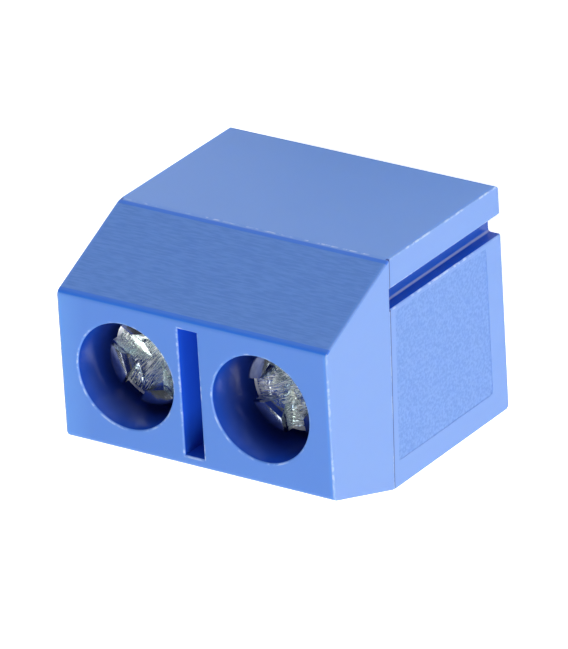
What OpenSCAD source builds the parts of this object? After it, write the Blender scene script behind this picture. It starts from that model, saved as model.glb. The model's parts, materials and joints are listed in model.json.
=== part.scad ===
// Board terminal block with two screw clamps of the rising-cage kind.
// Frame: z = 0 is the board, +Z points to the screw heads, -Y to the wires, +X to the right.
// The origin lies on the board, midway between the two solder pins and under the screw axes.

/* [Housing] */
// Distance between the two poles
pitch = 5.08; // [5.0:0.02:5.2]
// Height of the housing above the board
body_h = 9.9; // [9.8:0.1:11]
// Depth from the wire side to the rear
body_d = 7.75; // [7.6:0.05:8.6]
// Distance from the front face to the screw axes
screw_to_front = 3.6; // [3.4:0.05:3.8]
// Depth of the flat top face
top_d = 5.0; // [4.7:0.02:5.2]
// How far the front chamfer leans back
front_lean = 1.04; // [0.8:0.02:1.2]
// Height of the front chamfer
front_slope_h = 3.27; // [2.5:0.05:3.6]
// Height of the rear chamfer
rear_slope_h = 3.63; // [2.5:0.05:3.8]
// Rounding of the long edges of the outline
edge_r = 0.15; // [0.05:0.05:0.3]
// How far the housing reaches more to the right of the poles than to the left
groove_side_extra = 0.16; // [0:0.02:0.2]

/* [Sides] */
// How far the side faces under the parting line lie inside the cap
side_step = 0.03; // [0.02:0.01:0.1]
// Depth of the bare rating panel in the right side
panel_deep = 0.02; // [0.01:0.01:0.05]
// Margin of the rating panel under the parting line
panel_cap_gap = 0.33; // [0.2:0.01:0.6]
// Margin of the rating panel beside the joining groove
panel_groove_gap = 0.17; // [0.1:0.01:0.4]
// Margin of the rating panel along the front and the board
panel_edge_gap = 0.85; // [0.4:0.05:1.2]
// Thickness of the strip behind the joining groove
strip_d = 1.0; // [0.8:0.05:1.2]
// Width of the joining groove
groove_w = 0.68; // [0.5:0.02:0.72]
// Depth of the joining groove
groove_deep = 0.45; // [0.3:0.05:0.5]
// Rounding at the root of the joining groove
groove_root_r = 0.1; // [0.05:0.01:0.15]
// Clearance of the joining rib in a neighbour's groove, on each face
rib_gap = 0.05; // [0.02:0.01:0.1]
// Width of the blind slot between the screw holes
top_slot_w = 0.72; // [0.4:0.02:0.8]
// Length of the blind slot between the screw holes
top_slot_len = 4.35; // [3.5:0.05:4.5]
// Depth of the blind slot between the screw holes
top_slot_deep = 3.0; // [1:0.1:4]
// How far the blind slot lies to the left of the middle between the poles
top_slot_left = 0.08; // [0:0.02:0.1]

/* [Screws] */
// Radius of the holes over the screw heads
well_r = 1.8; // [1.7:0.05:1.9]
// Depth of the heads under the top face
head_sink = 1.45; // [1.4:0.05:1.6]
// Radius of the screw heads
head_r = 1.5; // [1.4:0.05:1.6]
// Height of the screw heads
head_h = 1.3; // [1.1:0.05:1.3]
// Rounding of the rim on top of the screw heads
head_dome_r = 0.25; // [0.1:0.05:0.4]
// How far the left screw stands up from its seat
left_screw_raise = 0.25; // [0:0.05:0.35]
// Radius of the thread, over its crests
thread_r = 1.25; // [1.1:0.05:1.3]
// Chamfer at the screw tip
tip_chamfer = 0.3; // [0.1:0.05:0.5]
// Width of the driver slot
slot_w = 0.8; // [0.6:0.05:0.9]
// Depth of the driver slot
slot_deep = 0.65; // [0.4:0.05:0.75]
// Width of the cross arms beside the slot
arm_w = 0.85; // [0.6:0.05:0.9]
// Depth of the cross arms in the middle of the head
arm_deep = 0.9; // [0.6:0.05:1.0]
// Depth of the cross arms at the rim of the head
arm_rim_deep = 0.45; // [0.3:0.05:0.6]
// Half width of the square hollow, at the top
hollow_r = 0.95; // [0.8:0.01:1.05]
// Half width of the square hollow, at its floor
hollow_foot_r = 0.3; // [0.2:0.05:0.5]
// Depth of the square hollow
hollow_deep = 1.1; // [1.0:0.05:1.2]
// Turn of the left slot from the X axis
left_slot_turn = 59; // [0:1:180]
// Turn of the right slot from the X axis
right_slot_turn = 10; // [0:1:180]
// Thickness of the web that the heads sit on
web_t = 0.6; // [0.5:0.05:0.7]

/* [Cages] */
// Travel of each cage from open to closed
cage_travel = 1.7; // [1.5:0.05:1.75]
// Thickness of the cage strip
cage_t = 0.5; // [0.4:0.05:0.5]
// Width of a cage, from side to side
cage_w = 3.6; // [3.4:0.05:3.7]
// Depth of a cage, along the wire
cage_d = 3.2; // [3.0:0.05:3.2]
// Gap between the two layers of the lapped top
lap_gap = 0.05; // [0.02:0.01:0.06]
// Outer bend radius of the cage strip
cage_bend_r = 0.6; // [0.55:0.05:0.8]

/* [Terminals] */
// Thickness of the terminal strip
strip_t = 0.6; // [0.5:0.05:0.65]
// Inner bend radius of the terminal strip
bend_r = 0.15; // [0.1:0.05:0.2]
// Width of the clamping tongue
tongue_w = 2.3; // [1.8:0.1:2.4]
// Width of the upright leg
leg_w = 3.0; // [2.6:0.1:3.2]
// Width of the foot under the cage
foot_w = 2.4; // [2.0:0.1:2.8]
// Width of the solder pin
pin_w = 0.8; // [0.6:0.1:1.2]
// Length of the solder pin below the board face
pin_len = 3.0; // [2.8:0.1:4]
// Number of teeth under the tongue
tooth_count = 5; // [3:1:6]
// Depth of the teeth under the tongue
tooth_deep = 0.12; // [0.05:0.01:0.2]
// Bite of the leg's barbs in the housing
barb_bite = 0.06; // [0.02:0.01:0.1]

/* [Wire entries] */
// Width of the wire mouth in the front face
mouth_w = 3.2; // [2.8:0.05:3.6]
// Height of the wire mouth in the front face
mouth_h = 3.0; // [2.6:0.05:3.2]

/* [Clearances] */
// Gap round a cage on every side, and between it and its stops
slide_gap = 0.05; // [0.03:0.01:0.06]
// Gap between the thread and the tapped cage
thread_gap = 0.05; // [0.02:0.01:0.08]
// Gap between the shank and its hole in the web
web_gap = 0.15; // [0.1:0.05:0.2]
// Gap under each screw head, over the web
head_gap = 0.05; // [0.02:0.01:0.1]
// Gap between the cage and the upright leg
leg_gap = 0.15; // [0.12:0.01:0.2]
// Gap between the screw tip and the tongue
tip_gap = 0.1; // [0.05:0.05:0.2]

/* [Hidden] */
$fn = 64;
over = 1;                // how far cutting solids run past the faces they cut
arc_steps = 6;           // straight pieces in each rounded corner

pole_x = pitch / 2;
left_x = groove_side_extra / 2 - pitch;
right_x = groove_side_extra / 2 + pitch;
left_side_x = left_x + side_step;
right_side_x = right_x - side_step;
front_y = -screw_to_front;
rear_y = front_y + body_d;
top_front_y = front_y + front_lean;
top_rear_y = top_front_y + top_d;
front_knee_z = body_h - front_slope_h;
rear_knee_z = body_h - rear_slope_h;

// The joining groove, and the rib that fits a neighbour's groove
groove_rear_y = rear_y - strip_d;
groove_front_y = groove_rear_y - groove_w;
rib_tip_x = left_x - side_step - groove_deep + rib_gap;
rib_edge_r = 0.1;
panel_corner_r = 0.2;

// Heights, worked out downwards from the screw heads
head_z = body_h - head_sink;
head_under_z = head_z - head_h;
web_top_z = head_under_z - head_gap;
chamber_z = web_top_z - web_t;
collar_t = 2 * cage_t + lap_gap;
window_h = strip_t + cage_travel + 2 * slide_gap;
cage_h = cage_t + window_h + collar_t;
cage_z = chamber_z - slide_gap - cage_travel - cage_h;
cage_floor_z = cage_z + cage_t;
tongue_z = cage_floor_z + cage_travel + slide_gap;
tongue_top_z = tongue_z + strip_t;
foot_top_z = cage_z - slide_gap;
foot_z = foot_top_z - strip_t;
tip_z = tongue_top_z + tip_gap;

// Depths of the inner metalwork
chamber_half_w = cage_w / 2 + slide_gap;
chamber_half_d = cage_d / 2 + slide_gap;
leg_front_y = cage_d / 2 + leg_gap;
leg_rear_y = leg_front_y + strip_t;
tongue_front_y = -cage_d / 2 + leg_gap;
pin_front_y = -strip_t / 2;
leg_pocket_half_w = leg_w / 2 + slide_gap;
head_foot_r = 0.1;
barb_h = 0.35;
barb_pitch = 0.6;
tooth_pitch = 0.5;
mouth_z = (cage_floor_z + tongue_top_z) / 2;
cage_inner_w = cage_w - 2 * cage_t;

plastic = [0.22, 0.43, 0.86];
zinc = [0.74, 0.76, 0.74];
nickel = [0.72, 0.70, 0.64];
tin = [0.80, 0.80, 0.78];

// ---- Outlines -------------------------------------------------------------

function unit(v) = v / norm(v);

// Points of one corner b between a and c, rounded with radius r
function corner_arc(a, b, c, r) =
    let (u = unit(a - b),
         v = unit(c - b),
         half = acos(u * v) / 2,
         centre = b + unit(u + v) * r / sin(half),
         start = b + u * r / tan(half) - centre,
         stop = b + v * r / tan(half) - centre,
         from = atan2(start[1], start[0]),
         raw = atan2(stop[1], stop[0]) - from,
         sweep = raw > 180 ? raw - 360 : raw < -180 ? raw + 360 : raw)
    [for (i = [0 : arc_steps]) centre + r * [cos(from + sweep * i / arc_steps),
                                             sin(from + sweep * i / arc_steps)]];

// An outline of [x, y, r] corners; a corner with r = 0 stays sharp
function rounded(corners) =
    let (n = len(corners))
    [for (i = [0 : n - 1])
        let (a = corners[(i + n - 1) % n], b = corners[i], c = corners[(i + 1) % n])
        each b[2] > 0
            ? corner_arc([a[0], a[1]], [b[0], b[1]], [c[0], c[1]], b[2])
            : [[b[0], b[1]]]];

// Draws a (y, z) outline and pushes it along X, centred on x = 0
module along_x(width) {
    rotate([90, 0, 90])
        translate([0, 0, -width / 2])
            linear_extrude(width)
                children();
}

// Draws an (x, z) outline and pushes it along Y, centred on y = 0
module along_y(depth) {
    rotate([90, 0, 0])
        translate([0, 0, -depth / 2])
            linear_extrude(depth)
                children();
}

module at_pole(side) {
    translate([side * pole_x, 0, 0])
        children();
}

// ---- Housing --------------------------------------------------------------

module housing_outline() {
    polygon(rounded([
        [front_y, 0, edge_r],
        [rear_y, 0, edge_r],
        [rear_y, rear_knee_z, edge_r],
        [top_rear_y, body_h, edge_r],
        [top_front_y, body_h, edge_r],
        [front_y, front_knee_z, edge_r]
    ]));
}

// Height of the parting line, which joins the rear knee to the front knee
function parting_z(y) = rear_knee_z + (front_knee_z - rear_knee_z) * (rear_y - y) / body_d;

// Everything under the parting line, between two places across the block
module under_parting_line(low_x, high_x) {
    translate([(low_x + high_x) / 2, 0, 0])
        along_x(high_x - low_x)
            polygon([
                [front_y - over, -over],
                [rear_y + over, -over],
                [rear_y + over, parting_z(rear_y + over)],
                [front_y - over, parting_z(front_y - over)]
            ]);
}

module joining_groove() {
    root_x = right_side_x - groove_deep;
    intersection() {
        translate([0, 0, -over])
            linear_extrude(body_h)
                polygon(rounded([
                    [right_x + over, groove_front_y, 0],
                    [right_x + over, groove_rear_y, 0],
                    [root_x, groove_rear_y, groove_root_r],
                    [root_x, groove_front_y, groove_root_r]
                ]));
        under_parting_line(root_x - over, right_x + 2 * over);
    }
}

// A shallow field on the right side, where such blocks carry their ratings; it is left bare
module rating_panel() {
    low_y = front_y + panel_edge_gap;
    high_y = groove_front_y - panel_groove_gap;
    translate([right_side_x - panel_deep + over / 2, 0, 0])
        along_x(over)
            polygon(rounded([
                [low_y, panel_edge_gap, panel_corner_r],
                [high_y, panel_edge_gap, panel_corner_r],
                [high_y, parting_z(high_y) - panel_cap_gap, panel_corner_r],
                [low_y, parting_z(low_y) - panel_cap_gap, panel_corner_r]
            ]));
}

// The rib has the groove's section, less its clearance, with rounded edges
module joining_rib() {
    linear_extrude(rear_knee_z - rib_gap)
        polygon(rounded([
            [left_side_x + rib_edge_r, groove_front_y + rib_gap, 0],
            [left_side_x + rib_edge_r, groove_rear_y - rib_gap, 0],
            [rib_tip_x, groove_rear_y - rib_gap, rib_edge_r],
            [rib_tip_x, groove_front_y + rib_gap, rib_edge_r]
        ]));
}

// The hole over a screw head, its web and the hole for the shank
module screw_well() {
    translate([0, 0, web_top_z])
        cylinder(h = body_h - web_top_z + over, r = well_r);
    translate([0, 0, chamber_z - over])
        cylinder(h = web_t + 2 * over, r = thread_r + web_gap);
}

// The room for a cage and its terminal, open to the board
module clamp_chamber() {
    translate([-chamber_half_w, -chamber_half_d, -over])
        cube([2 * chamber_half_w, 2 * chamber_half_d, chamber_z + over]);
    translate([-leg_pocket_half_w, 0, -over])
        cube([2 * leg_pocket_half_w, leg_rear_y, tongue_top_z + over]);
}

// A wire mouth that narrows on all four sides from the front face to the cage
module wire_mouth() {
    run = -chamber_half_d - front_y;
    intersection() {
        along_x(2 * mouth_w)
            polygon([
                [front_y - over, mouth_z - mouth_h / 2],
                [front_y, mouth_z - mouth_h / 2],
                [front_y + run, cage_floor_z],
                [front_y + run + over, cage_floor_z],
                [front_y + run + over, tongue_top_z],
                [front_y + run, tongue_top_z],
                [front_y, mouth_z + mouth_h / 2],
                [front_y - over, mouth_z + mouth_h / 2]
            ]);
        linear_extrude(body_h)
            polygon([
                [-mouth_w / 2, front_y - over],
                [mouth_w / 2, front_y - over],
                [mouth_w / 2, front_y],
                [cage_inner_w / 2, front_y + run],
                [cage_inner_w / 2, front_y + run + over],
                [-cage_inner_w / 2, front_y + run + over],
                [-cage_inner_w / 2, front_y + run],
                [-mouth_w / 2, front_y]
            ]);
    }
}

module top_slot() {
    middle_y = (top_front_y + top_rear_y) / 2;
    translate([-top_slot_left, middle_y, body_h - top_slot_deep])
        translate([-top_slot_w / 2, -top_slot_len / 2, 0])
            cube([top_slot_w, top_slot_len, top_slot_deep + over]);
}

module housing() {
    color(plastic) {
        difference() {
            translate([groove_side_extra / 2, 0, 0])
                along_x(2 * pitch)
                    housing_outline();
            under_parting_line(left_x - over, left_side_x);
            under_parting_line(right_side_x, right_x + over);
            for (side = [-1, 1])
                at_pole(side) {
                    screw_well();
                    clamp_chamber();
                    wire_mouth();
                }
            joining_groove();
            rating_panel();
            top_slot();
        }
        joining_rib();
    }
}

// ---- Screws ---------------------------------------------------------------

module screw_body() {
    rotate_extrude()
        polygon(rounded([
            [0, tip_z, 0],
            [thread_r - tip_chamfer, tip_z, 0],
            [thread_r, tip_z + tip_chamfer, 0],
            [thread_r, head_under_z, 0],
            [head_r, head_under_z, head_foot_r],
            [head_r, head_z, head_dome_r],
            [0, head_z, 0]
        ]));
}

module driver_slot() {
    translate([-head_r - over, -slot_w / 2, head_z - slot_deep])
        cube([2 * head_r + 2 * over, slot_w, slot_deep + over]);
}

// Two arms across the slot, whose floor rises from the middle to the rim
module cross_arms() {
    reach = head_r + over;
    reach_z = head_z - arm_deep + (arm_deep - arm_rim_deep) * reach / head_r;
    along_x(arm_w)
        polygon([
            [-reach, head_z + over],
            [-reach, reach_z],
            [0, head_z - arm_deep],
            [reach, reach_z],
            [reach, head_z + over]
        ]);
}

// One pair of the hollow's sloping walls, seen from the side
module hollow_outline() {
    polygon([
        [-hollow_r, head_z + over],
        [-hollow_r, head_z],
        [-hollow_foot_r, head_z - hollow_deep],
        [hollow_foot_r, head_z - hollow_deep],
        [hollow_r, head_z],
        [hollow_r, head_z + over]
    ]);
}

// A square hollow turned by 45 degrees; it narrows to its floor under the crossing
module square_hollow() {
    rotate([0, 0, 45])
        intersection() {
            along_x(2 * hollow_r)
                hollow_outline();
            along_y(2 * hollow_r)
                hollow_outline();
        }
}

// The recess leaves four lobes on the head
module screw(side, slot_turn, raise) {
    color(zinc)
        at_pole(side)
            translate([0, 0, raise])
                difference() {
                    screw_body();
                    rotate([0, 0, slot_turn]) {
                        driver_slot();
                        cross_arms();
                        square_hollow();
                    }
                }
}

// ---- Cages ----------------------------------------------------------------

// One strip folded once round, with its two ends lapped over each other on top
module cage_outline() {
    w = cage_w / 2;
    top = cage_z + cage_h;
    polygon(rounded([
        [-w, cage_z, cage_bend_r],
        [w, cage_z, cage_bend_r],
        [w, top - cage_t - lap_gap, cage_bend_r],
        [-w + cage_t, top - cage_t - lap_gap, 0],
        [-w + cage_t, top - cage_t, 0],
        [w, top - cage_t, 0],
        [w, top, 0],
        [-w, top, cage_bend_r]
    ]));
}

module cage_window() {
    w = cage_inner_w / 2;
    inner_r = cage_bend_r - cage_t;
    polygon(rounded([
        [-w, cage_floor_z, inner_r],
        [w, cage_floor_z, inner_r],
        [w, cage_floor_z + window_h, inner_r],
        [-w, cage_floor_z + window_h, 0]
    ]));
}

module cage(side) {
    color(nickel)
        at_pole(side)
            difference() {
                along_y(cage_d)
                    difference() {
                        cage_outline();
                        cage_window();
                    }
                translate([0, 0, cage_z + cage_h - collar_t - over])
                    cylinder(h = collar_t + 2 * over, r = thread_r + thread_gap);
            }
}

// ---- Terminals ------------------------------------------------------------

// Side view of the bent strip: tongue, upright leg, foot and solder pin
module terminal_outline() {
    out_r = bend_r + strip_t;
    polygon(rounded([
        [tongue_front_y, tongue_z, 0],
        [leg_front_y, tongue_z, bend_r],
        [leg_front_y, foot_top_z, bend_r],
        [pin_front_y, foot_top_z, out_r],
        [pin_front_y, -pin_len + strip_t / 2, 0],
        [pin_front_y + strip_t / 4, -pin_len, 0],
        [pin_front_y + strip_t * 3 / 4, -pin_len, 0],
        [pin_front_y + strip_t, -pin_len + strip_t / 2, 0],
        [pin_front_y + strip_t, foot_z, bend_r],
        [leg_rear_y, foot_z, out_r],
        [leg_rear_y, tongue_top_z, out_r],
        [tongue_front_y, tongue_top_z, 0]
    ]));
}

// The part of the bent strip inside the (y, z) box from low to high, as wide as given
module strip_part(width, low, high) {
    intersection() {
        along_x(width)
            terminal_outline();
        translate([-width / 2, low[0], low[1]])
            cube([width, high[0] - low[0], high[1] - low[1]]);
    }
}

// Teeth that bite the wire, cut across the underside of the tongue
module tongue_teeth() {
    for (i = [0 : tooth_count - 1])
        along_x(tongue_w + 2 * over)
            polygon([
                [tongue_front_y + tooth_pitch * (i + 0.2), tongue_z - over],
                [tongue_front_y + tooth_pitch * (i + 0.2), tongue_z],
                [tongue_front_y + tooth_pitch * (i + 0.5), tongue_z + tooth_deep],
                [tongue_front_y + tooth_pitch * (i + 0.8), tongue_z],
                [tongue_front_y + tooth_pitch * (i + 0.8), tongue_z - over]
            ]);
}

// Two barbs on each edge of the leg, sloped so that they pass upwards and hold
module leg_barbs() {
    for (side = [-1, 1], i = [0, 1])
        mirror([side < 0 ? 1 : 0, 0, 0])
            translate([0, (leg_front_y + leg_rear_y) / 2, foot_top_z + barb_h + barb_pitch * i])
                along_y(strip_t)
                    polygon([
                        [leg_w / 2 - barb_h, 0],
                        [leg_pocket_half_w + barb_bite, 0],
                        [leg_w / 2, barb_h],
                        [leg_w / 2 - barb_h, barb_h]
                    ]);
}

module terminal(side) {
    color(tin)
        at_pole(side) {
            difference() {
                strip_part(tongue_w, [tongue_front_y, tongue_z], [leg_front_y, tongue_top_z]);
                tongue_teeth();
            }
            strip_part(leg_w, [leg_front_y, foot_z], [leg_rear_y, tongue_top_z]);
            strip_part(foot_w, [pin_front_y, foot_z], [leg_front_y, foot_top_z]);
            strip_part(pin_w, [pin_front_y, -pin_len], [pin_front_y + strip_t, foot_top_z]);
            leg_barbs();
        }
}

housing();
screw(-1, left_slot_turn, left_screw_raise);  // screw_left
screw(1, right_slot_turn, 0);  // screw_right
cage(-1);  // cage_left
cage(1);  // cage_right
terminal(-1);  // terminal_left
terminal(1);  // terminal_right
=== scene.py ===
"""Looks of a two-pole board terminal block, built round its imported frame.

The block stands on the board plane z = 0, with its screw heads up (+Z), its wire mouths
at the front (-Y) and its joining groove on the right (+X). Lengths are in metres.
"""

import json
import math

import bmesh
import bpy
from mathutils import Matrix, Vector

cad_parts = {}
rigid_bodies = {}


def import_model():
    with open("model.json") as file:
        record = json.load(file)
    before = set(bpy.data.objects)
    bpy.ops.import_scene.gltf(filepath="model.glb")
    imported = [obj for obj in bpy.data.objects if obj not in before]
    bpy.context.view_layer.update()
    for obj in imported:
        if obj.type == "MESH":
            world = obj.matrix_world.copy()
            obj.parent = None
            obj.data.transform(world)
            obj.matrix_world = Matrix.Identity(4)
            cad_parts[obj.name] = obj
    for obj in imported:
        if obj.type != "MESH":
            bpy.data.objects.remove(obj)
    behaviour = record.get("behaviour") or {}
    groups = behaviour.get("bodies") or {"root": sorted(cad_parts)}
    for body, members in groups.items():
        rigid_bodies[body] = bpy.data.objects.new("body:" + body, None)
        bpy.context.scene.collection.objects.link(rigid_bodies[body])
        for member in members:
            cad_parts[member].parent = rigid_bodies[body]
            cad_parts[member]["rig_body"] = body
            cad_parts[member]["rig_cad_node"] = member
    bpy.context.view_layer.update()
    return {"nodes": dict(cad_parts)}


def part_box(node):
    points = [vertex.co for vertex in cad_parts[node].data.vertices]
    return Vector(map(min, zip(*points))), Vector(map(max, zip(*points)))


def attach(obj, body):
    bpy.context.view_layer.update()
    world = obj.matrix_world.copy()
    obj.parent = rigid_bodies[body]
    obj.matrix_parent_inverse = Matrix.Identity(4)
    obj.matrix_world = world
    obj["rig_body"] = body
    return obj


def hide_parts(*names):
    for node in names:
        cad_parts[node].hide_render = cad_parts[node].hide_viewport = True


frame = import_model()

MM = 0.001
OVER = 1.0 * MM                 # how far a cutting tool runs past a face
ROUND_SIDES = 96                # sides of a turned form
RIM_STEPS = 4                   # steps in the rounding of a rim
FADE = 0.02                     # how softly a finish changes at an edge, in millimetres

# ---- Sizes read from the frame --------------------------------------------------

housing_low, housing_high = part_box("housing")
cage_low, cage_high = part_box("cage_right")
terminal_low, terminal_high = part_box("terminal_right")
screw_boxes = {side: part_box("screw_" + side) for side in ("left", "right")}

screw_low, screw_high = screw_boxes["right"]
pole_x = (screw_low.x + screw_high.x) / 2
poles = {"left": -pole_x, "right": pole_x}
head_r = (screw_high.x - screw_low.x) / 2
seat_head_z = screw_high.z      # the head of a screw that is down on its seat
front_y, rear_y = housing_low.y, housing_high.y
body_h = housing_high.z
rib_x = housing_low.x
right_x = housing_high.x
left_x = right_x - 4 * pole_x
middle_x = (left_x + right_x) / 2
half_w = (right_x - left_x) / 2

# ---- Housing sizes --------------------------------------------------------------

front_lean = 1.04 * MM          # how far the front chamfer leans back
front_slope_h = 3.27 * MM
rear_lean = 1.71 * MM           # how far the rear chamfer leans forward
rear_slope_h = 3.63 * MM
long_edge_r = 0.15 * MM
side_edge_r = 0.05 * MM
side_step = 0.03 * MM           # the side faces under the parting line lie this far in
seam_h = 0.04 * MM              # the hairline that the mould leaves along the parting line
seam_deep = 0.03 * MM
panel_deep = 0.012 * MM
panel_cap_gap = 0.33 * MM
panel_groove_gap = 0.17 * MM
panel_edge_gap = 0.85 * MM
panel_corner_r = 0.2 * MM
strip_d = 1.0 * MM
groove_w = 0.68 * MM
groove_deep = 0.45 * MM
groove_root_r = 0.1 * MM
groove_lip_r = 0.05 * MM
rib_gap = 0.05 * MM
rib_edge_r = 0.1 * MM
well_r = 1.8 * MM
rim_r = 0.06 * MM               # rounding where a hole meets an outer face
slot_left = 0.08 * MM           # the blind slot lies this far left of the middle
slot_w = 0.72 * MM
slot_len = 4.35 * MM
slot_deep = 3.0 * MM
head_h = 1.3 * MM
head_gap = 0.05 * MM
web_t = 0.6 * MM
thread_r = 1.25 * MM
web_gap = 0.15 * MM
slide_gap = 0.05 * MM
leg_w = 3.0 * MM
cage_t = 0.5 * MM
mouth_w = 3.2 * MM
mouth_h = 3.0 * MM
stamped_edge_r = 0.04 * MM      # softened corners of the cages and terminals

front_knee = Vector((0, front_y, body_h - front_slope_h))
rear_knee = Vector((0, rear_y, body_h - rear_slope_h))
left_side_x = left_x + side_step
right_side_x = right_x - side_step
groove_root_x = right_side_x - groove_deep
groove_rear_y = rear_y - strip_d
groove_front_y = groove_rear_y - groove_w
slot_y = (front_y + front_lean + rear_y - rear_lean) / 2
web_top_z = seat_head_z - head_h - head_gap
chamber_z = web_top_z - web_t
cage_floor_z = cage_low.z + cage_t
tongue_top_z = terminal_high.z
chamber_half_w = (cage_high.x - cage_low.x) / 2 + slide_gap
chamber_half_d = (cage_high.y - cage_low.y) / 2 + slide_gap

# The parting line joins the two knees; its normal points up out of the lower half
parting_up = Vector((0, rear_knee.z - front_knee.z, front_knee.y - rear_knee.y)).normalized() * -1

# ---- Screw sizes ----------------------------------------------------------------

head_dome_r = 0.13 * MM
head_foot_r = 0.1 * MM
driver_slot_w = 0.80 * MM
driver_deep = 0.42 * MM         # depth of the driver slot over its flat ends
arm_w = 0.85 * MM
arm_deep = 0.9 * MM             # depth of the cross arms in the middle of the head
arm_rim_deep = 0.45 * MM        # and at its rim
hollow_r = 0.95 * MM            # half width of the square hollow, at the top
hollow_foot_r = 0.3 * MM        # and at its floor
hollow_deep = 1.1 * MM
lobe_edge_r = 0.09 * MM
thread_lead = 0.45 * MM
thread_deep = 0.22 * MM
tip_chamfer = 0.3 * MM
shank_bite = 0.1 * MM           # how far the thread runs on into the head
slot_turns = {"left": 59, "right": 10}


# ---- Modelling helpers ----------------------------------------------------------

def select_only(piece):
    bpy.ops.object.select_all(action="DESELECT")
    bpy.context.view_layer.objects.active = piece
    piece.select_set(True)


def start(piece):
    """Makes one piece active and opens it in edit mode."""
    select_only(piece)
    bpy.ops.object.mode_set(mode="EDIT")


def done():
    bpy.ops.object.mode_set(mode="OBJECT")


def pick(piece, kind, test):
    """Selects the faces or edges of the open piece for which the test holds."""
    bpy.ops.mesh.select_mode(type=kind)
    bpy.ops.mesh.select_all(action="DESELECT")
    shape = bmesh.from_edit_mesh(piece.data)
    for item in shape.faces if kind == "FACE" else shape.edges:
        item.select_set(bool(test(item)))
    bmesh.update_edit_mesh(piece.data)


def near(a, b):
    return abs(a - b) < 0.001 * MM


def middle(edge):
    return (edge.verts[0].co + edge.verts[1].co) / 2


def along(edge, axis):
    """True where an edge runs along X (0), Y (1) or Z (2)."""
    return abs((edge.verts[1].co - edge.verts[0].co).normalized()[axis]) > 0.999


def place_applied(piece, name):
    piece.name = name
    piece.data.name = name
    bpy.ops.object.transform_apply(location=True, rotation=True, scale=True)
    return piece


def box(name, low, high):
    low, high = Vector(low), Vector(high)
    bpy.ops.object.select_all(action="DESELECT")
    bpy.ops.mesh.primitive_cube_add(size=1, location=(low + high) / 2)
    piece = bpy.context.object
    piece.scale = high - low
    return place_applied(piece, name)


def rod(name, radius, x, low_z, high_z):
    bpy.ops.object.select_all(action="DESELECT")
    bpy.ops.mesh.primitive_cylinder_add(vertices=ROUND_SIDES, radius=radius, depth=high_z - low_z,
                                        location=(x, 0, (low_z + high_z) / 2))
    return place_applied(bpy.context.object, name)


def slice_off(point, normal, keep=False):
    """Cuts the open piece with a plane; what lies past the normal goes, unless kept."""
    bpy.ops.mesh.select_all(action="SELECT")
    bpy.ops.mesh.bisect(plane_co=point, plane_no=normal, use_fill=not keep, clear_outer=not keep,
                        threshold=1e-7)


def flare(piece, axis, rim, radius):
    """Widens the open tool's end face, on the + or - side of an axis, on a quarter round."""
    normal = Vector([rim if i == axis else 0 for i in range(3)])
    pick(piece, "FACE", lambda face: face.normal.dot(normal) > 0.99)
    across = [i for i in range(3) if i != axis]
    faces = [f for f in bmesh.from_edit_mesh(piece.data).faces if f.select]
    corners = [v.co for f in faces for v in f.verts]
    centre = sum(corners, Vector()) / len(corners)
    half = [max(abs(c[i] - centre[i]) for c in corners) for i in across]
    grown = 0
    risen = 0
    for step in range(1, RIM_STEPS + 1):
        turn = math.radians(90) * step / RIM_STEPS
        rise = radius * math.sin(turn) - risen
        grow = radius * (1 - math.cos(turn)) - grown
        bpy.ops.mesh.extrude_region_move(TRANSFORM_OT_translate={"value": normal * rise})
        scale = [1.0, 1.0, 1.0]
        for i, reach in zip(across, half):
            scale[i] = (reach + grown + grow) / (reach + grown)
        bpy.ops.transform.resize(value=scale, center_override=centre + normal * (risen + rise))
        risen += rise
        grown += grow
    bpy.ops.mesh.extrude_region_move(TRANSFORM_OT_translate={"value": normal * OVER})


def apply_modifier(piece, name, kind, **settings):
    select_only(piece)
    change = piece.modifiers.new(name, kind)
    for key, value in settings.items():
        setattr(change, key, value)
    bpy.ops.object.modifier_apply(modifier=change.name)


def cut(piece, tool, operation="DIFFERENCE"):
    """Cuts a tool out of a piece, or joins it, and throws the tool away."""
    apply_modifier(piece, "cut", "BOOLEAN", operation=operation, object=tool, solver="EXACT")
    bpy.data.objects.remove(tool)


def finish_surface(piece, sharp_deg=40):
    """Smooths round stretches and keeps flat faces flat."""
    select_only(piece)
    bpy.ops.object.shade_smooth_by_angle(angle=math.radians(sharp_deg))
    apply_modifier(piece, "flat faces", "WEIGHTED_NORMAL", weight=100, keep_sharp=True)


def soften(piece, width, segments=2, angle_deg=35):
    """Bevels every corner of a finished form that is sharper than the angle."""
    apply_modifier(piece, "edges", "BEVEL", width=width, segments=segments, limit_method="ANGLE",
                   angle_limit=math.radians(angle_deg), miter_outer="MITER_ARC")


# ---- Shader helpers -------------------------------------------------------------

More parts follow.
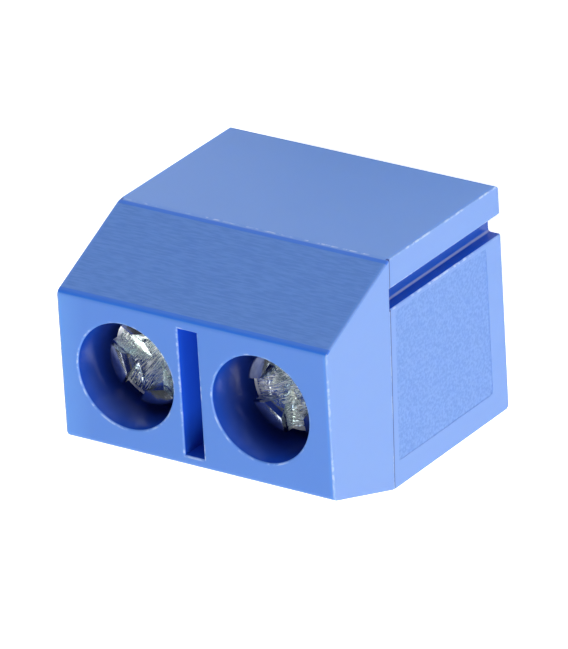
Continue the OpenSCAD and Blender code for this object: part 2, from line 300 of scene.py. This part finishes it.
class Value:
    """A number that varies over a surface, written with plain operators."""

    def __init__(self, tree, socket):
        self.tree = tree
        self.socket = socket

    def maths(self, operation, *others):
        node = self.tree.nodes.new("ShaderNodeMath")
        node.operation = operation
        for socket, other in zip(node.inputs, (self, *others)):
            if isinstance(other, Value):
                self.tree.links.new(other.socket, socket)
            else:
                socket.default_value = other
        return Value(self.tree, node.outputs[0])

    def __add__(self, other):
        return self.maths("ADD", other)

    __radd__ = __add__

    def __sub__(self, other):
        return self.maths("SUBTRACT", other)

    def __rsub__(self, other):
        return self * -1 + other

    def __mul__(self, other):
        return self.maths("MULTIPLY", other)

    __rmul__ = __mul__

    def __truediv__(self, other):
        return self.maths("DIVIDE", other)

    def __pow__(self, other):
        return self.maths("POWER", other)

    def __abs__(self):
        return self.maths("ABSOLUTE")

    def clamped(self):
        return self.maths("MAXIMUM", 0.0).maths("MINIMUM", 1.0)

    def above(self, limit, fade=FADE):
        """0 below the limit and 1 above it, with a soft step as wide as fade."""
        return ((self - limit) / fade + 0.5).clamped()

    def below(self, limit, fade=FADE):
        return ((self - limit) / -fade + 0.5).clamped()

    def between(self, low, high, fade=FADE):
        return self.above(low, fade) * self.below(high, fade)

    def either(self, other):
        return self.maths("MAXIMUM", other)


class Nodes:
    """The nodes of one material or world."""

    def __init__(self, owner):
        owner.use_nodes = True
        self.tree = owner.node_tree

    def node(self, kind, settings=None, **inputs):
        """Adds any other node: its settings first, then the values or links of its sockets."""
        node = self.tree.nodes.new(kind)
        for key, value in (settings or {}).items():
            setattr(node, key, value)
        self.feed_all(node, inputs)
        return node

    def feed_all(self, node, inputs):
        for key, value in inputs.items():
            self.feed(node.inputs[key.replace("_", " ")], value)

    def feed(self, socket, value):
        if isinstance(value, Value):
            self.tree.links.new(value.socket, socket)
        elif isinstance(value, bpy.types.NodeSocket):
            self.tree.links.new(value, socket)
        else:
            socket.default_value = value

    def value(self, node, output):
        return Value(self.tree, node.outputs[output])


class Finish(Nodes):
    """One material: a principled shader and the nodes that feed it."""

    def __init__(self, name, centre=(0, 0, 0), turn_deg=0):
        self.material = bpy.data.materials.new(name)
        super().__init__(self.material)
        self.place = self.node("ShaderNodeTexCoord").outputs["Object"]
        self.centre = centre
        self.turn = (0, 0, math.radians(turn_deg))

    def set(self, **inputs):
        self.feed_all(self.tree.nodes["Principled BSDF"], inputs)

    def axes(self):
        """The three coordinates of the surface point, in millimetres."""
        parts = self.node("ShaderNodeSeparateXYZ", Vector=self.place)
        return [self.value(parts, letter) * (1 / MM) for letter in "XYZ"]

    def noise(self, size, detail):
        """Noise whose grains are about as large as the size along X, Y and Z, in millimetres."""
        size = size if isinstance(size, tuple) else (size, size, size)
        laid = self.node("ShaderNodeMapping", {"vector_type": "TEXTURE"}, Vector=self.place,
                         Location=self.centre, Rotation=self.turn, Scale=[s * MM for s in size])
        node = self.node("ShaderNodeTexNoise", Vector=laid.outputs["Vector"], Scale=1.0, Detail=detail)
        return self.value(node, "Fac")

    def blend(self, factor, first, second):
        node = self.node("ShaderNodeMix", {"data_type": "RGBA"})
        self.feed(node.inputs["Factor"], factor)
        self.feed(node.inputs[6], first)
        self.feed(node.inputs[7], second)
        return node.outputs[2]

    def bump(self, height, strength, depth):
        """A normal from a height of 0 to 1 that stands for the depth, in millimetres."""
        node = self.node("ShaderNodeBump", Height=height, Strength=strength, Distance=depth * MM)
        return node.outputs["Normal"]


def colour(red, green, blue):
    return (red, green, blue, 1.0)


# ---- Materials ------------------------------------------------------------------
# Masks are 1 where a finish lies and 0 elsewhere, and their lengths are in millimetres.

def mm(length):
    return length / MM


def over_parting(y, z):
    """Height over the parting line."""
    slope = (front_knee.z - rear_knee.z) / (rear_y - front_y)
    return z - (mm(rear_y) - y) * slope - mm(rear_knee.z)


def reach_from(pole, x, y):
    return ((x - mm(pole)) ** 2 + y * y) ** 0.5


def in_wells(x, y, z):
    wells = [reach_from(pole, x, y).below(mm(well_r) + 0.03) for pole in poles.values()]
    return wells[0].either(wells[1]) * z.below(mm(body_h) - 0.04, 0.03)


def in_slot(x, y, z):
    return (abs(x + mm(slot_left)).below(mm(slot_w / 2) + 0.02)
            * abs(y - mm(slot_y)).below(mm(slot_len / 2) + 0.02)
            * z.below(mm(body_h) - 0.04, 0.03))


def in_groove(x, y, z):
    return (x.between(mm(groove_root_x) - 0.1, mm(right_side_x) - 0.03)
            * y.between(mm(groove_front_y) - 0.02, mm(groove_rear_y) + 0.02)
            * over_parting(y, z).below(0.03))


def painted_root_highlight(x, y, z):
    """A painted highlight along the rounded root on the front side of the groove."""
    return (x.between(mm(groove_root_x) + 0.01, mm(groove_root_x) + 0.07, 0.03)
            * y.between(mm(groove_front_y) + 0.01, mm(groove_front_y) + 0.07, 0.03)
            * in_groove(x, y, z))


def rim_lines(x, y, z):
    """The rims of the wells and of the blind slot."""
    rings = [reach_from(pole, x, y).between(mm(well_r) + 0.02, mm(well_r) + 0.07, 0.03)
             for pole in poles.values()]
    across = abs(x + mm(slot_left)) - mm(slot_w / 2)
    lengthwise = abs(y - mm(slot_y)) - mm(slot_len / 2)
    slot_ring = across.either(lengthwise).between(0.01, 0.07, 0.03)
    return rings[0].either(rings[1]).either(slot_ring) * z.above(mm(body_h) - 0.05)


def rating_panel(x, y, z):
    """The grained panel of the right side."""
    return (y.between(mm(front_y + panel_edge_gap), mm(groove_front_y - panel_groove_gap))
            * z.above(mm(panel_edge_gap)) * over_parting(y, z).below(-mm(panel_cap_gap))
            * x.above(mm(right_side_x) - 0.05, 0.01))


def worn_and_highlit_edges(x, y, z):
    """The side edges of the rear and of the top, and the lips of the joining groove, where pale nicks are
    partly wear and partly painted highlights.
    """
    at_groove = over_parting(y, z).below(0.05) * x.above(mm(right_side_x) - 0.04)
    lips = (y.between(mm(groove_front_y) - 0.07, mm(groove_front_y))
            .either(y.between(mm(groove_rear_y), mm(groove_rear_y) + 0.05)))
    at_side = abs(x - mm(middle_x)).above(mm(half_w) - 0.06)
    rear_corner = at_side * y.above(mm(rear_y) - 0.06)
    top_corner = at_side * z.above(mm(body_h) - 0.06)
    return (at_groove * lips).either(rear_corner).either(top_corner * 0.6)


def on_rear_chamfer(y, z):
    """What lies within a few hundredths of a millimetre of the rear chamfer's plane."""
    slant = math.hypot(rear_slope_h, rear_lean)
    out = (y - mm(rear_y)) * (rear_slope_h / slant) + (z - mm(rear_knee.z)) * (rear_lean / slant)
    return out.above(-0.05)


def chamfer_edges(y, z):
    """Painted dark reflection in bands inside both long edges of the rear chamfer, and a painted highlight
    line below the lower.
    """
    top_band = z.between(mm(body_h) - 0.19, mm(body_h) - 0.02, 0.03)
    knee_band = z.between(mm(rear_knee.z) + 0.02, mm(rear_knee.z) + 0.16, 0.03)
    knee_line = z.between(mm(rear_knee.z) - 0.09, mm(rear_knee.z) - 0.03, 0.03)
    return top_band.either(knee_band) * on_rear_chamfer(y, z), knee_line * y.above(mm(rear_y) - 0.03)


def blue_nylon():
    """Moulded nylon with painted light: a painted satin sheen outside, paler on the sides, and painted shade
    that makes the walls of the wells, slot and groove deep blue.
    """
    finish = Finish("blue_nylon")
    x, y, z = finish.axes()
    clouds = finish.noise(1.6, detail=2.0)
    polish = finish.noise((0.5, 0.06, 0.06), detail=2.0)
    grain = finish.noise(0.1, detail=2.0)
    nicks = finish.noise(0.17, detail=3.0).above(0.50, 0.14) * finish.noise(0.9, detail=2.0).above(0.50, 0.10)

    # The outer faces, from the widest area to the finest line; their tones differ per face by painted sheen
    # and painted shade
    off_middle = abs(x - mm(middle_x))
    on_top = z.above(mm(body_h) - 0.02)
    on_rear = y.above(mm(rear_y) - 0.03)
    on_side = off_middle.above(mm(half_w - side_step) - 0.045)
    near_side = off_middle.above(mm(half_w - side_step) - 0.1)
    painted_glow_edge = off_middle.above(mm(half_w) - 0.10, 0.18)
    on_chamfer = on_rear_chamfer(y, z) * z.between(mm(rear_knee.z) + 0.02, mm(body_h) - 0.02, 0.04)
    grained = rating_panel(x, y, z)
    bands, bright_line = chamfer_edges(y, z)
    lift = over_parting(y, z)
    seam = lift.between(-mm(seam_h) - 0.03, 0.01, 0.01) * near_side
    seam_lip_highlight = lift.between(0.01, 0.05) * near_side
    # Painted sheen: the rear face lighter and greyer than the top
    rear = finish.blend(clouds, colour(0.126, 0.290, 0.74), colour(0.140, 0.306, 0.77))
    # Painted sheen: the sides paler than the other faces
    side = finish.blend(clouds, colour(0.190, 0.345, 0.765), colour(0.200, 0.357, 0.785))
    outer = finish.blend(clouds, colour(0.080, 0.245, 0.70), colour(0.092, 0.265, 0.74))
    # Painted sheen: the top lighter than the other outer faces, and lighter still towards its left end
    outer = finish.blend(on_top * 0.8, outer, colour(0.115, 0.265, 0.74))
    outer = finish.blend(on_top * x.below(mm(left_x) + 0.4, 1.2) * 0.7, outer, colour(0.16, 0.38, 0.90))
    outer = finish.blend(on_rear, outer, rear)
    # Painted glow: a light saturated blue band along both sides, for light shining through the edges
    outer = finish.blend(painted_glow_edge * 0.6, outer, colour(0.10, 0.37, 0.98))
    outer = finish.blend(on_side, outer, side)
    # Painted shade: the rear chamfer darker than the faces beside it
    outer = finish.blend(on_chamfer * (1 - painted_glow_edge * 0.7) * 0.9, outer, colour(0.060, 0.194, 0.61))
    outer = finish.blend(polish.above(0.5, 0.25) * on_chamfer * 0.6, outer, colour(0.105, 0.27, 0.72))
    outer = finish.blend(grain.above(0.5, 0.25) * grained * 0.7, outer, colour(0.11, 0.25, 0.66))
    # Painted dark reflection in bands along both long edges of the rear chamfer
    outer = finish.blend(bands * 0.85, outer, colour(0.012, 0.155, 0.73))
    # Painted shade darkens the parting hairline
    outer = finish.blend(seam * 0.95, outer, colour(0.012, 0.05, 0.30))

    # Painted shade on the walls inside the wells, the blind slot and the groove: deep blue, and darker
    # further down the wells
    wells, slot, groove = in_wells(x, y, z), in_slot(x, y, z), in_groove(x, y, z)
    painted_shade_walls = wells.either(slot).either(groove)
    far_down = z.below(mm(body_h) - 0.8, 1.0) * wells
    deep = finish.blend(clouds, colour(0.010, 0.072, 0.52), colour(0.014, 0.092, 0.60))
    deep = finish.blend(far_down, deep, colour(0.013, 0.042, 0.30))
    deep = finish.blend(groove * 0.8, deep, colour(0.006, 0.090, 0.52))
    # Painted highlight along the groove's rounded root
    deep = finish.blend(painted_root_highlight(x, y, z) * 0.8, deep, colour(0.30, 0.36, 0.62))
    # Painted glow: the upper walls of the blind slot glow faintly blue
    painted_glow_walls = slot * z.above(mm(body_h) - 1.2, 1.6) * y.above(mm(slot_y) - 1.3, 1.0)

    # Pale nicks along the edges, partly flash and wear and partly painted highlights
    nicks_and_highlights = (rim_lines(x, y, z) * 0.5).either(bright_line * 0.5).either(seam_lip_highlight * 0.4)
    nicks_and_highlights = nicks_and_highlights.either(worn_and_highlit_edges(x, y, z) * 0.6) * nicks
    body = finish.blend(painted_shade_walls, outer, deep)
    finish.set(Base_Color=finish.blend(nicks_and_highlights, body, colour(0.62, 0.74, 0.95)),
               Roughness=clouds * 0.08 + grained * 0.14 - painted_shade_walls * 0.16 + 0.36,
               Emission_Color=finish.blend(painted_glow_walls, colour(0, 0, 0), colour(0.004, 0.028, 0.20)),
               Normal=finish.bump(grain * (grained * 0.9 + 0.05) + polish * on_chamfer * 0.5, 0.7, 0.015))
    finish.set(Subsurface_Weight=0.2, Subsurface_Radius=(0.15, 0.40, 1.0), Subsurface_Scale=0.3 * MM,
               IOR=1.53, Emission_Strength=1.0)
    return finish.material


def zinc_steel(side):
    """Bright zinc plate with driver scratches along the slot and greenish, bluish patches, with painted dark
    reflection on the lobe tops and a bright ring round the rim that is partly burrs and partly painted
    highlight.
    """
    finish = Finish("zinc_steel_" + side, centre=(poles[side], 0, 0), turn_deg=slot_turns[side])
    x, y, z = finish.axes()
    head_z = mm(screw_boxes[side][1].z)
    low = z.below(head_z - mm(driver_deep) + 0.06, 0.06)
    lobes = z.above(head_z - 0.20, 0.10)
    burr_and_highlight = (reach_from(poles[side], x, y).above(mm(head_r) - 0.10, 0.03)
            * z.between(head_z - 0.6, head_z - 0.25, 0.05))
    patches = finish.noise(0.3, detail=4.0)
    hue = finish.noise(0.55, detail=1.0)
    dents = finish.noise(0.2, detail=3.0)
    scratches = finish.noise((0.35, 0.03, 0.3), detail=3.0).above(0.56, 0.08) * low
    tint = finish.blend(hue.above(0.5, 0.3), colour(0.56, 0.68, 0.64), colour(0.46, 0.54, 0.70))
    tint = finish.blend(patches.above(0.52, 0.25), tint, colour(0.92, 0.97, 0.90))
    # Painted dark reflection on the lobe tops
    tint = finish.blend(lobes * 0.8, tint, colour(0.24, 0.27, 0.35))
    # The bright ring round the rim is partly burrs, partly painted highlight
    tint = finish.blend(scratches.either(burr_and_highlight), tint, colour(0.97, 0.98, 0.96))
    finish.set(Base_Color=tint, Metallic=1.0,
               Roughness=patches * 0.2 + scratches * 0.25 + burr_and_highlight * 0.25 - lobes * 0.08 + 0.14,
               Normal=finish.bump(dents * (1 - lobes * 0.85) + scratches * 0.4, 0.8, 0.06))
    return finish.material


def nickel_brass():
    """Nickel plate over folded strip, with faint drawing lines along the bend."""
    finish = Finish("nickel_brass")
    drawn = finish.noise((0.9, 0.9, 0.03), detail=2.0)
    patches = finish.noise(0.5, detail=3.0)
    tint = finish.blend(patches, colour(0.60, 0.56, 0.48), colour(0.72, 0.69, 0.62))
    finish.set(Base_Color=tint, Metallic=1.0,
               Roughness=patches * 0.15 + drawn * 0.1 + 0.2,
               Normal=finish.bump(drawn * 0.6 + patches * 0.4, 0.3, 0.01))
    return finish.material


def tinned_brass():
    """Dull tin plate over stamped brass."""
    finish = Finish("tinned_brass")
    patches = finish.noise(0.4, detail=4.0)
    fine = finish.noise(0.05, detail=2.0)
    tint = finish.blend(patches, colour(0.46, 0.46, 0.44), colour(0.62, 0.62, 0.59))
    finish.set(Base_Color=tint, Metallic=1.0,
               Roughness=patches * 0.18 + 0.3,
               Normal=finish.bump(fine * 0.5 + patches * 0.5, 0.25, 0.01))
    return finish.material


def dress(piece, material):
    piece.data.materials.clear()
    piece.data.materials.append(material)


# ---- Housing --------------------------------------------------------------------

def outline_block():
    """The full block with both chamfers, its long edges and its end edges rounded."""
    block = box("housing_shell", (left_x, front_y, 0), (right_x, rear_y, body_h))
    start(block)
    slice_off(front_knee, Vector((0, -front_slope_h, front_lean)).normalized())
    slice_off(rear_knee, Vector((0, rear_slope_h, rear_lean)).normalized())
    pick(block, "EDGE", lambda edge: along(edge, 0))
    bpy.ops.mesh.bevel(offset=long_edge_r, segments=5, affect="EDGES", clamp_overlap=False)
    pick(block, "EDGE", lambda edge: near(abs(middle(edge).x - middle_x), half_w))
    bpy.ops.mesh.bevel(offset=side_edge_r, segments=3, affect="EDGES", clamp_overlap=False)
    done()
    return block


def lower_slab(low_x, high_x, height=None):
    """A slab across the block under the parting line, or only its top band of a height."""
    slab = box("slab", (low_x, front_y - OVER, -OVER), (high_x, rear_y + OVER, body_h))
    start(slab)
    slice_off(rear_knee, parting_up)
    if height:
        slice_off(rear_knee - parting_up * height, -parting_up)
    done()
    return slab


def panel_tool():
    tool = box("panel", (right_side_x - panel_deep, front_y + panel_edge_gap, panel_edge_gap),
               (right_x + OVER, groove_front_y - panel_groove_gap, body_h))
    start(tool)
    slice_off(rear_knee - parting_up * panel_cap_gap, parting_up)
    pick(tool, "EDGE", lambda edge: along(edge, 0))
    bpy.ops.mesh.bevel(offset=panel_corner_r, segments=4, affect="EDGES")
    done()
    return tool


def well_tool(x):
    tool = rod("well", well_r, x, web_top_z, body_h - rim_r)
    start(tool)
    flare(tool, 2, 1, rim_r)
    done()
    return tool


def slot_tool():
    tool = box("slot", (-slot_left - slot_w / 2, slot_y - slot_len / 2, body_h - slot_deep),
               (-slot_left + slot_w / 2, slot_y + slot_len / 2, body_h - rim_r))
    start(tool)
    flare(tool, 2, 1, rim_r)
    done()
    return tool


def mouth_tool(x):
    """A wire mouth that narrows from the front face to the cage."""
    mouth_z = (cage_floor_z + tongue_top_z) / 2
    inner_half_w = chamber_half_w - slide_gap - cage_t
    tool = box("mouth", (x - inner_half_w, -chamber_half_d, cage_floor_z),
               (x + inner_half_w, -chamber_half_d + OVER, tongue_top_z))
    start(tool)
    pick(tool, "FACE", lambda face: face.normal.y < -0.99)
    run = -chamber_half_d - front_y - rim_r
    bpy.ops.mesh.extrude_region_move(TRANSFORM_OT_translate={"value": (0, -run, 0)})
    widen = (mouth_w / 2 / inner_half_w, 1, mouth_h / (tongue_top_z - cage_floor_z))
    bpy.ops.transform.resize(value=widen, center_override=(x, front_y + rim_r, mouth_z))
    flare(tool, 1, -1, rim_r)
    done()
    return tool


def groove_tool():
    tool = box("groove", (groove_root_x, groove_front_y, -OVER),
               (right_side_x - groove_lip_r, groove_rear_y, body_h))
    start(tool)
    slice_off(rear_knee, parting_up)
    pick(tool, "EDGE", lambda edge: along(edge, 2) and near(middle(edge).x, groove_root_x))
    bpy.ops.mesh.bevel(offset=groove_root_r, segments=4, affect="EDGES")
    flare(tool, 0, 1, groove_lip_r)
    done()
    return tool


def rib_tool():
    rib = box("rib", (rib_x, groove_front_y + rib_gap, 0),
              (left_side_x + OVER / 2, groove_rear_y - rib_gap, rear_knee.z - rib_gap))
    start(rib)
    pick(rib, "EDGE", lambda edge: near(middle(edge).x, rib_x))
    bpy.ops.mesh.bevel(offset=rib_edge_r, segments=3, affect="EDGES")
    done()
    return rib


def make_housing():
    shell = outline_block()
    for deeper, height in ((0, None), (seam_deep, seam_h)):
        cut(shell, lower_slab(left_x - OVER, left_side_x + deeper, height))
        cut(shell, lower_slab(right_side_x - deeper, right_x + OVER, height))
    cut(shell, panel_tool())
    for x in poles.values():
        cut(shell, well_tool(x))
        cut(shell, rod("web_hole", thread_r + web_gap, x, chamber_z - OVER, web_top_z + OVER))
        cut(shell, box("chamber", (x - chamber_half_w, -chamber_half_d, -OVER),
                       (x + chamber_half_w, chamber_half_d, chamber_z)))
        cut(shell, box("leg_pocket", (x - leg_w / 2 - slide_gap, 0, -OVER),
                       (x + leg_w / 2 + slide_gap, terminal_high.y, tongue_top_z)))
        cut(shell, mouth_tool(x))
    cut(shell, slot_tool())
    cut(shell, groove_tool())
    cut(shell, rib_tool(), "UNION")
    finish_surface(shell)
    dress(shell, blue_nylon())
    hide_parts("housing")
    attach(shell, "housing")


# ---- Screws ---------------------------------------------------------------------

def threaded_shank(x, low_z, high_z):
    """A helical thread between two heights, with a chamfered tip."""
    root = thread_r - thread_deep
    profile = [Vector((r, 0, h * thread_lead)) for r, h in
               ((root, 0), (root, 0.14), (thread_r, 0.46), (thread_r, 0.54), (root, 0.86), (root, 1))]
    bpy.ops.object.select_all(action="DESELECT")
    bpy.ops.mesh.primitive_plane_add(size=thread_lead)
    thread = bpy.context.object
    start(thread)
    bpy.ops.mesh.select_mode(type="VERT")
    bpy.ops.mesh.select_all(action="SELECT")
    bpy.ops.mesh.merge(type="CENTER")
    bpy.ops.transform.translate(value=profile[0])
    for low, high in zip(profile, profile[1:]):
        bpy.ops.mesh.extrude_region_move(TRANSFORM_OT_translate={"value": high - low})
    done()
    apply_modifier(thread, "thread", "SCREW", axis="Z", screw_offset=thread_lead, steps=40, render_steps=40,
                   iterations=math.ceil((high_z - low_z) / thread_lead) + 3,
                   use_merge_vertices=True, merge_threshold=1e-7)
    thread.location = (x, 0, low_z - thread_lead * 1.5)
    place_applied(thread, "shank")
    start(thread)
    bpy.ops.mesh.select_all(action="SELECT")
    bpy.ops.mesh.remove_doubles(threshold=2e-7)
    slice_off((x, 0, low_z), (0, 0, -1))
    slice_off((x, 0, high_z + shank_bite), (0, 0, 1))
    bpy.ops.mesh.select_all(action="SELECT")
    bpy.ops.mesh.normals_make_consistent(inside=False)
    done()
    envelope = rod("envelope", thread_r + 0.01 * MM, x, low_z - 0.001 * MM, high_z + OVER)
    start(envelope)
    pick(envelope, "EDGE", lambda edge: middle(edge).z < low_z)
    bpy.ops.mesh.bevel(offset=tip_chamfer, segments=1, affect="EDGES")
    done()
    cut(thread, envelope, "INTERSECT")
    return thread


def channel_tool(name, width, deep, rim_deep, head_z):
    """A channel along Y across the head, deepest in the middle, whose floor rises to the rim."""
    reach = head_r + OVER
    rise = (deep - rim_deep) * reach / head_r
    tool = box(name, (-width / 2, -reach, head_z - deep), (width / 2, reach, head_z + OVER))
    start(tool)
    slice_off((0, 0, 0), (0, 1, 0), keep=True)
    pick(tool, "EDGE", lambda edge: along(edge, 0) and near(middle(edge).z, head_z - deep)
         and near(abs(middle(edge).y), reach))
    bpy.ops.transform.translate(value=(0, 0, rise))
    done()
    return tool


def hollow_tool(head_z):
    """The square hollow, which narrows to its floor."""
    tool = box("hollow", (-hollow_r, -hollow_r, head_z - hollow_deep), (hollow_r, hollow_r, head_z))
    start(tool)
    pick(tool, "FACE", lambda face: face.normal.z < -0.99)
    narrow = hollow_foot_r / hollow_r
    bpy.ops.transform.resize(value=(narrow, narrow, 1), center_override=(0, 0, head_z - hollow_deep))
    pick(tool, "FACE", lambda face: face.normal.z > 0.99)
    bpy.ops.mesh.extrude_region_move(TRANSFORM_OT_translate={"value": (0, 0, OVER)})
    done()
    return tool


def make_screw(side):
    x = poles[side]
    low, high = screw_boxes[side]
    head_z = high.z
    name = "screw_" + side
    head = rod(name + "_body", head_r, x, head_z - head_h, head_z)
    start(head)
    pick(head, "EDGE", lambda edge: near(middle(edge).z, head_z))
    bpy.ops.mesh.bevel(offset=head_dome_r, segments=6, affect="EDGES")
    pick(head, "EDGE", lambda edge: near(middle(edge).z, head_z - head_h))
    bpy.ops.mesh.bevel(offset=head_foot_r, segments=2, affect="EDGES")
    done()
    slot = channel_tool("driver_slot", driver_slot_w, driver_deep, driver_deep, head_z)
    arms = channel_tool("cross_arms", arm_w, arm_deep, arm_rim_deep, head_z)
    for tool, extra in ((slot, 90), (arms, 0), (hollow_tool(head_z), 45)):
        select_only(tool)
        tool.rotation_euler.z = math.radians(slot_turns[side] + extra)
        tool.location.x = x
        bpy.ops.object.transform_apply(location=True, rotation=True, scale=True)
        cut(head, tool)
    soften(head, lobe_edge_r, segments=3)
    cut(head, threaded_shank(x, low.z, head_z - head_h), "UNION")
    finish_surface(head, 50)
    dress(head, zinc_steel(side))
    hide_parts(name)
    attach(head, name)


# ---- Cages and terminals --------------------------------------------------------

def finished_copy(name, material, body):
    """A copy of a metal node with its corners rounded as a stamping's are."""
    source = frame["nodes"][name]
    piece = source.copy()
    piece.data = source.data.copy()
    piece.parent = None
    piece.name = name + "_body"
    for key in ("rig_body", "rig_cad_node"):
        if key in piece:
            del piece[key]
    bpy.context.scene.collection.objects.link(piece)
    start(piece)
    bpy.ops.mesh.select_all(action="SELECT")
    bpy.ops.mesh.remove_doubles(threshold=1e-6)
    bpy.ops.mesh.dissolve_limited(angle_limit=math.radians(1))
    done()
    soften(piece, stamped_edge_r, angle_deg=40)
    finish_surface(piece, 50)
    dress(piece, material)
    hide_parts(name)
    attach(piece, body)


# ---- Stage, light and camera ----------------------------------------------------

def make_floor():
    """A pale sheet under the pin tips; the camera sees it white, with the block's shadow."""
    reach = 600 * MM
    floor = box("floor", (-reach, -reach, terminal_low.z - 1 * MM), (reach, reach, terminal_low.z))
    finish = Finish("pale_floor")
    dapple = finish.noise(60, detail=1.0)
    path = finish.node("ShaderNodeLightPath")
    seen = finish.value(path, "Is Camera Ray") + finish.value(path, "Is Glossy Ray") * 0.15
    finish.set(Base_Color=finish.blend(dapple, colour(0.86, 0.86, 0.87), colour(0.88, 0.88, 0.88)),
               Roughness=0.8, Emission_Strength=1.0,
               Emission_Color=finish.blend(seen, colour(0, 0, 0), colour(0.8, 0.8, 0.8)))
    floor.data.materials.append(finish.material)


def make_world():
    """A white studio sweep at the sides that darkens towards the ceiling."""
    world = bpy.data.worlds.new("studio")
    bpy.context.scene.world = world
    nodes = Nodes(world)
    look = nodes.node("ShaderNodeTexCoord")
    parts = nodes.node("ShaderNodeSeparateXYZ", Vector=look.outputs["Generated"])
    strength = nodes.value(parts, "Z").below(0.30, 0.3) * 0.88 + 0.12
    nodes.feed_all(nodes.tree.nodes["Background"], {"Color": colour(1, 1, 1), "Strength": strength})


def make_lamp(name, direction, size, power):
    """A soft square lamp that looks at the block from a direction."""
    distance = 350 * MM
    target = Vector((0, 0, body_h / 2))
    back = Vector(direction).normalized()
    data = bpy.data.lights.new(name, "AREA")
    data.shape = "SQUARE"
    data.size = size
    data.energy = power
    lamp = bpy.data.objects.new(name, data)
    turn = back.to_track_quat("Z", "Y").to_matrix().to_4x4()
    lamp.matrix_world = Matrix.Translation(target + back * distance) @ turn
    lamp.visible_camera = False
    bpy.context.scene.collection.objects.link(lamp)


def make_camera():
    """Looks at the screw face, the rear and the right side, with +Y up in the picture."""
    target = Vector((0, 0, 5.9)) * MM
    azimuth, elevation, roll = math.radians(35.45), math.radians(25.07), math.radians(-3.48)
    distance = 271.2 * MM
    shift_right, shift_up = 0.606 * MM, 0.617 * MM
    back = Vector((math.sin(azimuth) * math.cos(elevation), math.sin(elevation),
                   math.cos(azimuth) * math.cos(elevation)))
    flat_right = (-back).cross(Vector((0, 1, 0))).normalized()
    flat_up = back.cross(flat_right)
    right = flat_right * math.cos(roll) + flat_up * math.sin(roll)
    up = flat_up * math.cos(roll) - flat_right * math.sin(roll)
    aim = target + right * shift_right + up * shift_up
    data = bpy.data.cameras.new("camera")
    data.lens = 479.8
    data.sensor_width = 36
    data.clip_start = 0.01
    camera = bpy.data.objects.new("camera", data)
    turn = Matrix((right, up, back)).transposed().to_4x4()
    camera.matrix_world = Matrix.Translation(aim + back * distance) @ turn
    bpy.context.scene.collection.objects.link(camera)
    bpy.context.scene.camera = camera


# ---- The whole block ------------------------------------------------------------

make_housing()
nickel = nickel_brass()
tin = tinned_brass()
for side in poles:
    make_screw(side)
    finished_copy("cage_" + side, nickel, "cage_" + side)
    finished_copy("terminal_" + side, tin, "housing")

make_floor()
make_world()
make_lamp("above", (0.2, -0.42, 0.88), 0.33, 1.32)
make_lamp("right", (1.0, 0.1, 0.15), 0.25, 0.56)
make_lamp("rear", (0.1, 1.0, 0.1), 0.25, 0.34)
make_camera()
bpy.context.scene.view_settings.view_transform = "Standard"
